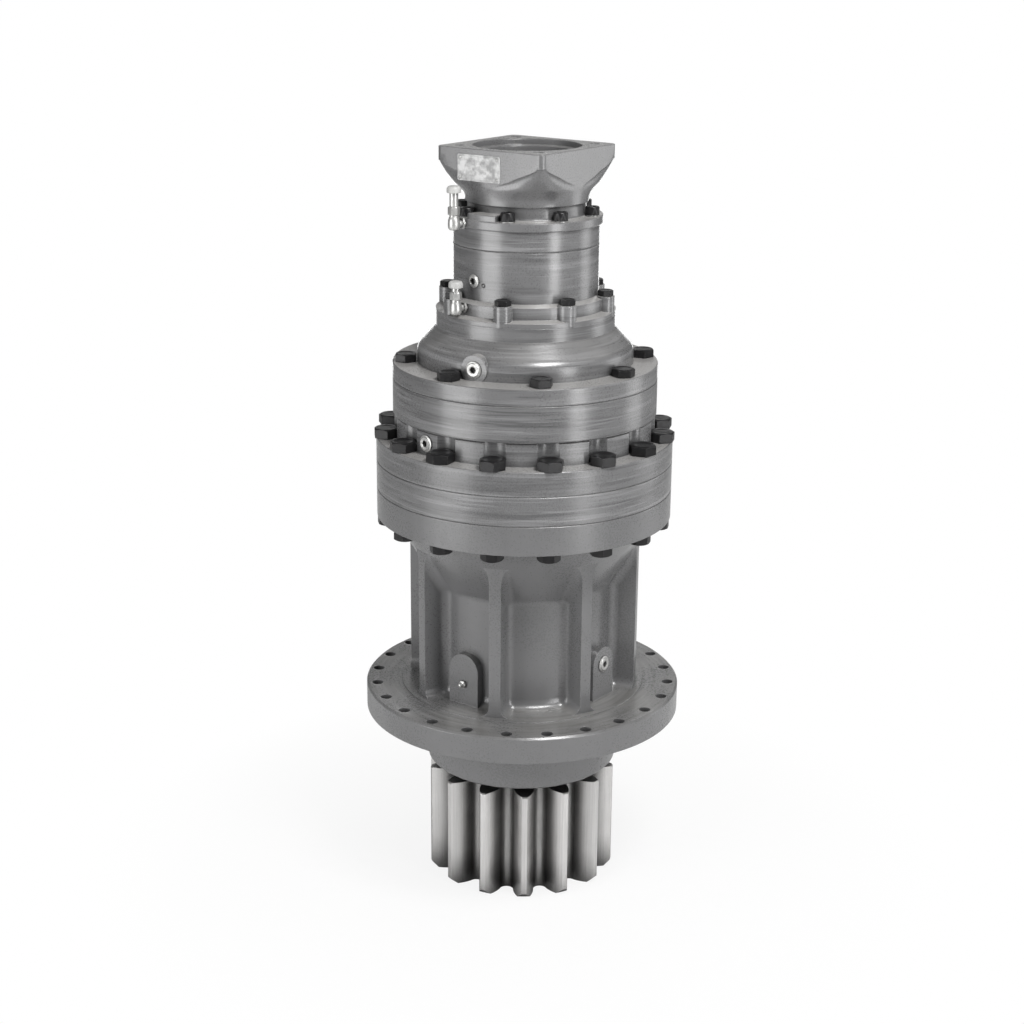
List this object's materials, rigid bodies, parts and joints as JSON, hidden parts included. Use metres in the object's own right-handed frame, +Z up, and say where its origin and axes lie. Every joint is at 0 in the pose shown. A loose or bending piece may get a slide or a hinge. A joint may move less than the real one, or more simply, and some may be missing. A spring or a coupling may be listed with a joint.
{
  "type": "planetary slewing gearbox",
  "caption": "Upright planetary slewing gearbox: output pinion below a bolted mounting flange, ribbed housing, stepped ring-gear stack, disc brake and square motor flange.",
  "frame": {"origin": "centre of the mounting flange's underside, on the gearbox axis", "axes": "+Z up along the gearbox axis towards the motor flange; +X and +Y square to the motor flange's sides"},
  "size_m": [0.492, 0.4918, 1.1517],
  "materials": {
    "cast_paint": "matte grey machine paint over cast iron",
    "ring_paint": "the same paint over turned steel",
    "gear_steel": "hobbed and oiled gear steel",
    "pinion_steel": "bare ground steel, lightly oiled",
    "bearing_steel": "fine ground",
    "bush_bronze": "turned",
    "screw_black": "black oxide",
    "zinc": "zinc plated",
    "cap_plastic": "moulded, pale",
    "seal_rubber": "moulded",
    "disc_steel": "ground",
    "lining": "sintered lining",
    "spring_steel": "oiled"
  },
  "bodies": {
    "housing": {"output_housing": "cast_paint", "ring_gear_3": "ring_paint", "stage_adapter": "cast_paint", "ring_gear_2": "ring_paint", "dome_cover": "cast_paint", "ring_gear_1": "gear_steel", "brake_housing": "cast_paint", "brake_cylinder": "ring_paint", "motor_adapter": "cast_paint", "upper_stack_screws": "screw_black", "lower_stack_screws": "screw_black", "mid_stack_screws": "screw_black", "brake_housing_screws": "screw_black", "motor_adapter_screws": "screw_black", "lower_bearing_outer_race": "bearing_steel", "upper_bearing_outer_race": "bearing_steel", "output_seal": "seal_rubber", "level_plugs": "zinc", "release_elbow": "zinc", "breather_elbow": "zinc", "fitting_caps": "cap_plastic", "brake_steel_discs": "disc_steel", "brake_springs": "spring_steel", "input_bearing_outer_races": "bearing_steel", "input_seal": "seal_rubber"},
    "output_shaft": {"pinion_shaft": "pinion_steel", "lower_bearing_inner_race": "bearing_steel", "upper_bearing_inner_race": "bearing_steel", "bearing_spacer": "gear_steel", "shaft_nut": "gear_steel", "carrier_3": "gear_steel", "planet_pins_3": "bearing_steel", "planet_bushes_3": "bush_bronze"},
    "output_rollers": {"lower_bearing_rollers": "bearing_steel", "upper_bearing_rollers": "bearing_steel"},
    "middle_carrier": {"carrier_2": "gear_steel", "sun_gear_3": "gear_steel", "planet_pins_2": "bearing_steel", "planet_bushes_2": "bush_bronze"},
    "first_carrier": {"carrier_1": "gear_steel", "sun_gear_2": "gear_steel", "planet_pins_1": "bearing_steel", "planet_bushes_1": "bush_bronze"},
    "input_shaft": {"input_shaft": "gear_steel", "brake_hub": "gear_steel", "brake_friction_discs": "lining", "input_bearing_inner_races": "bearing_steel"},
    "input_balls": {"input_bearing_balls": "bearing_steel"},
    "brake_piston": {"brake_piston": "disc_steel", "piston_seals": "seal_rubber"},
    "planet_3_1": {"planet_gear_3_1": "gear_steel"},
    "planet_3_2": {"planet_gear_3_2": "gear_steel"},
    "planet_3_3": {"planet_gear_3_3": "gear_steel"},
    "planet_3_4": {"planet_gear_3_4": "gear_steel"},
    "planet_2_1": {"planet_gear_2_1": "gear_steel"},
    "planet_2_2": {"planet_gear_2_2": "gear_steel"},
    "planet_2_3": {"planet_gear_2_3": "gear_steel"},
    "planet_1_1": {"planet_gear_1_1": "gear_steel"},
    "planet_1_2": {"planet_gear_1_2": "gear_steel"},
    "planet_1_3": {"planet_gear_1_3": "gear_steel"}
  },
  "joints": [
    {"name": "output_spin", "type": "hinge", "parent": "housing", "child": "output_shaft", "pos_m": [0, 0, 0], "axis": [0, 0, 1], "continuous": true},
    {"name": "output_rollers_spin", "type": "hinge", "parent": "housing", "child": "output_rollers", "pos_m": [0, 0, 0], "axis": [0, 0, 1], "continuous": true},
    {"name": "middle_carrier_spin", "type": "hinge", "parent": "housing", "child": "middle_carrier", "pos_m": [0, 0, 0], "axis": [0, 0, 1], "continuous": true},
    {"name": "first_carrier_spin", "type": "hinge", "parent": "housing", "child": "first_carrier", "pos_m": [0, 0, 0], "axis": [0, 0, 1], "continuous": true},
    {"name": "input_spin", "type": "hinge", "parent": "housing", "child": "input_shaft", "pos_m": [0, 0, 0], "axis": [0, 0, 1], "continuous": true},
    {"name": "input_balls_spin", "type": "hinge", "parent": "housing", "child": "input_balls", "pos_m": [0, 0, 0], "axis": [0, 0, 1], "continuous": true},
    {"name": "planet_3_1_spin", "type": "hinge", "parent": "output_shaft", "child": "planet_3_1", "pos_m": [0.08061, 0.08061, 0.382], "axis": [0, 0, 1], "continuous": true},
    {"name": "planet_3_2_spin", "type": "hinge", "parent": "output_shaft", "child": "planet_3_2", "pos_m": [-0.08061, 0.08061, 0.382], "axis": [0, 0, 1], "continuous": true},
    {"name": "planet_3_3_spin", "type": "hinge", "parent": "output_shaft", "child": "planet_3_3", "pos_m": [-0.08061, -0.08061, 0.382], "axis": [0, 0, 1], "continuous": true},
    {"name": "planet_3_4_spin", "type": "hinge", "parent": "output_shaft", "child": "planet_3_4", "pos_m": [0.08061, -0.08061, 0.382], "axis": [0, 0, 1], "continuous": true},
    {"name": "planet_2_1_spin", "type": "hinge", "parent": "middle_carrier", "child": "planet_2_1", "pos_m": [0.06894, 0.06894, 0.503], "axis": [0, 0, 1], "continuous": true},
    {"name": "planet_2_2_spin", "type": "hinge", "parent": "middle_carrier", "child": "planet_2_2", "pos_m": [-0.09418, 0.02523, 0.503], "axis": [0, 0, 1], "continuous": true},
    {"name": "planet_2_3_spin", "type": "hinge", "parent": "middle_carrier", "child": "planet_2_3", "pos_m": [0.02523, -0.09418, 0.503], "axis": [0, 0, 1], "continuous": true},
    {"name": "planet_1_1_spin", "type": "hinge", "parent": "first_carrier", "child": "planet_1_1", "pos_m": [0.03447, 0.03447, 0.575], "axis": [0, 0, 1], "continuous": true},
    {"name": "planet_1_2_spin", "type": "hinge", "parent": "first_carrier", "child": "planet_1_2", "pos_m": [-0.04709, 0.01262, 0.575], "axis": [0, 0, 1], "continuous": true},
    {"name": "planet_1_3_spin", "type": "hinge", "parent": "first_carrier", "child": "planet_1_3", "pos_m": [0.01262, -0.04709, 0.575], "axis": [0, 0, 1], "continuous": true},
    {"name": "brake_lift", "type": "slide", "parent": "housing", "child": "brake_piston", "axis": [0, 0, 1], "range_m": [0, 0.0025], "stiffness_N_per_m": 60000, "springref_m": -0.012, "deforming": ["brake_springs"]}
  ],
  "couplings": [
    {"joint": "output_rollers_spin", "follows": "output_spin", "ratio": 0.4375},
    {"joint": "middle_carrier_spin", "follows": "output_spin", "ratio": 4.2222},
    {"joint": "first_carrier_spin", "follows": "output_spin", "ratio": 20.583},
    {"joint": "input_spin", "follows": "output_spin", "ratio": 100.34},
    {"joint": "input_balls_spin", "follows": "output_spin", "ratio": 41.475},
    {"joint": "planet_3_1_spin", "follows": "output_spin", "ratio": -2.9},
    {"joint": "planet_3_2_spin", "follows": "output_spin", "ratio": -2.9},
    {"joint": "planet_3_3_spin", "follows": "output_spin", "ratio": -2.9},
    {"joint": "planet_3_4_spin", "follows": "output_spin", "ratio": -2.9},
    {"joint": "planet_2_1_spin", "follows": "output_spin", "ratio": -11.382},
    {"joint": "planet_2_2_spin", "follows": "output_spin", "ratio": -11.382},
    {"joint": "planet_2_3_spin", "follows": "output_spin", "ratio": -11.382},
    {"joint": "planet_1_1_spin", "follows": "output_spin", "ratio": -55.486},
    {"joint": "planet_1_2_spin", "follows": "output_spin", "ratio": -55.486},
    {"joint": "planet_1_3_spin", "follows": "output_spin", "ratio": -55.486}
  ]
}
